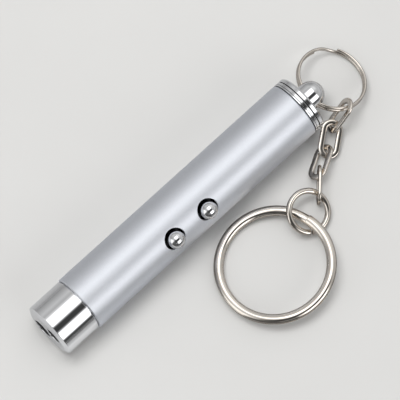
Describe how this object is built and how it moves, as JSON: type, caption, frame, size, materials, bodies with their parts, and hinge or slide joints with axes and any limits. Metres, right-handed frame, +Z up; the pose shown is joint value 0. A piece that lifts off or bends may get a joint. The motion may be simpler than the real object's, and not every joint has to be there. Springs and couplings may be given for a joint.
{
  "type": "cat laser pointer",
  "caption": "Slim cylindrical keychain light for playing with a cat: silver barrel, two ball buttons, chrome nose with two openings, tail chain and key ring.",
  "frame": {"origin": "centre of the flat nose face, on the barrel's axis", "axes": "+X along the barrel from nose to tail, +Z up with the pointer lying on its side on a table, buttons 43 degrees from +Z towards -Y"},
  "size_m": [0.0957, 0.045, 0.0145],
  "materials": {
    "satin_aluminium": "satin silver anodised",
    "chrome": "polished chrome plate",
    "button_chrome": "polished chrome plate on plastic",
    "nickel": "bright nickel plate on steel wire",
    "black_plastic": "moulded black",
    "brass": "turned brass",
    "lens_glass": "clear moulded lens",
    "clear_epoxy": "clear epoxy",
    "steel": "bright steel",
    "board_green": "green board",
    "resistor_black": "fired ceramic"
  },
  "bodies": {
    "root": {"nose_cap": "chrome", "body_tube": "satin_aluminium", "module_holder": "black_plastic", "laser_module": "brass", "laser_lens": "lens_glass", "laser_diode": "steel", "led_lamp": "clear_epoxy", "circuit_board": "board_green", "front_switch": "black_plastic", "rear_switch": "black_plastic", "series_resistor": "resistor_black", "battery_stop": "black_plastic", "front_contact": "steel", "battery_sleeve": "black_plastic", "cell_1": "steel", "cell_2": "steel", "cell_3": "steel"},
    "front_button": {"button_front": "button_chrome", "front_plunger": "black_plastic"},
    "rear_button": {"button_rear": "button_chrome", "rear_plunger": "black_plastic"},
    "tail_spring": {"tail_spring": "steel"},
    "tail_cap": {"tail_cap": "chrome"},
    "thin_ring": {"thin_ring": "nickel"},
    "chain_link_1": {"chain_link_1": "nickel"},
    "chain_link_2": {"chain_link_2": "nickel"},
    "chain_link_3": {"chain_link_3": "nickel"},
    "chain_link_4": {"chain_link_4": "nickel"},
    "jump_ring": {"jump_ring": "nickel"},
    "key_ring": {"key_ring": "nickel"}
  },
  "joints": [
    {"name": "front_button_press", "type": "slide", "parent": "root", "child": "front_button", "axis": [0, 0.682, -0.7314], "range_m": [0, 0.0005], "stiffness_N_per_m": 1500, "springref_m": -0.0002},
    {"name": "rear_button_press", "type": "slide", "parent": "root", "child": "rear_button", "axis": [0, 0.682, -0.7314], "range_m": [0, 0.0005], "stiffness_N_per_m": 1500, "springref_m": -0.0002},
    {"name": "tail_slide", "type": "slide", "parent": "root", "child": "tail_spring", "axis": [1, 0, 0], "range_m": [0, 0.003]},
    {"name": "tail_cap_turn", "type": "hinge", "parent": "tail_spring", "child": "tail_cap", "pos_m": [0.0761, 0, 0], "axis": [1, 0, 0], "range_deg": [0, 1440]},
    {"name": "thin_ring_swing", "type": "hinge", "parent": "tail_cap", "child": "thin_ring", "pos_m": [0.0807, 0, 0], "axis": [0, 1, 0], "range_deg": [-130, 12]},
    {"name": "chain_link_1_swing", "type": "hinge", "parent": "thin_ring", "child": "chain_link_1", "pos_m": [0.085, -0.00738, -0.00176], "axis": [-0.8584, 0.373, 0.3521], "range_deg": [-6, 200]},
    {"name": "chain_link_2_swing", "type": "hinge", "parent": "chain_link_1", "child": "chain_link_2", "pos_m": [0.07989, -0.00848, -0.00465], "axis": [0.0444, -0.6641, 0.7463], "range_deg": [-4, 88]},
    {"name": "chain_link_3_swing", "type": "hinge", "parent": "chain_link_2", "child": "chain_link_3", "pos_m": [0.07468, -0.01121, -0.00505], "axis": [0.1173, -0.967, -0.226], "range_deg": [-33, 10]},
    {"name": "chain_link_4_swing", "type": "hinge", "parent": "chain_link_3", "child": "chain_link_4", "pos_m": [0.07009, -0.01459, -0.00348], "axis": [0.8281, -0.3155, 0.4634], "range_deg": [-11, 27]},
    {"name": "jump_ring_swing", "type": "hinge", "parent": "chain_link_4", "child": "jump_ring", "pos_m": [0.06584, -0.01891, -0.00386], "axis": [0.0059, -0.0936, 0.9956], "range_deg": [-10, 15]},
    {"name": "key_ring_swing", "type": "hinge", "parent": "jump_ring", "child": "key_ring", "pos_m": [0.06103, -0.01934, -0.00379], "axis": [0.9644, 0.264, 0.0177], "range_deg": [-116, 1]}
  ],
  "couplings": [
    {"joint": "tail_cap_turn", "follows": "tail_slide", "rad_per_m": 8377.5}
  ]
}
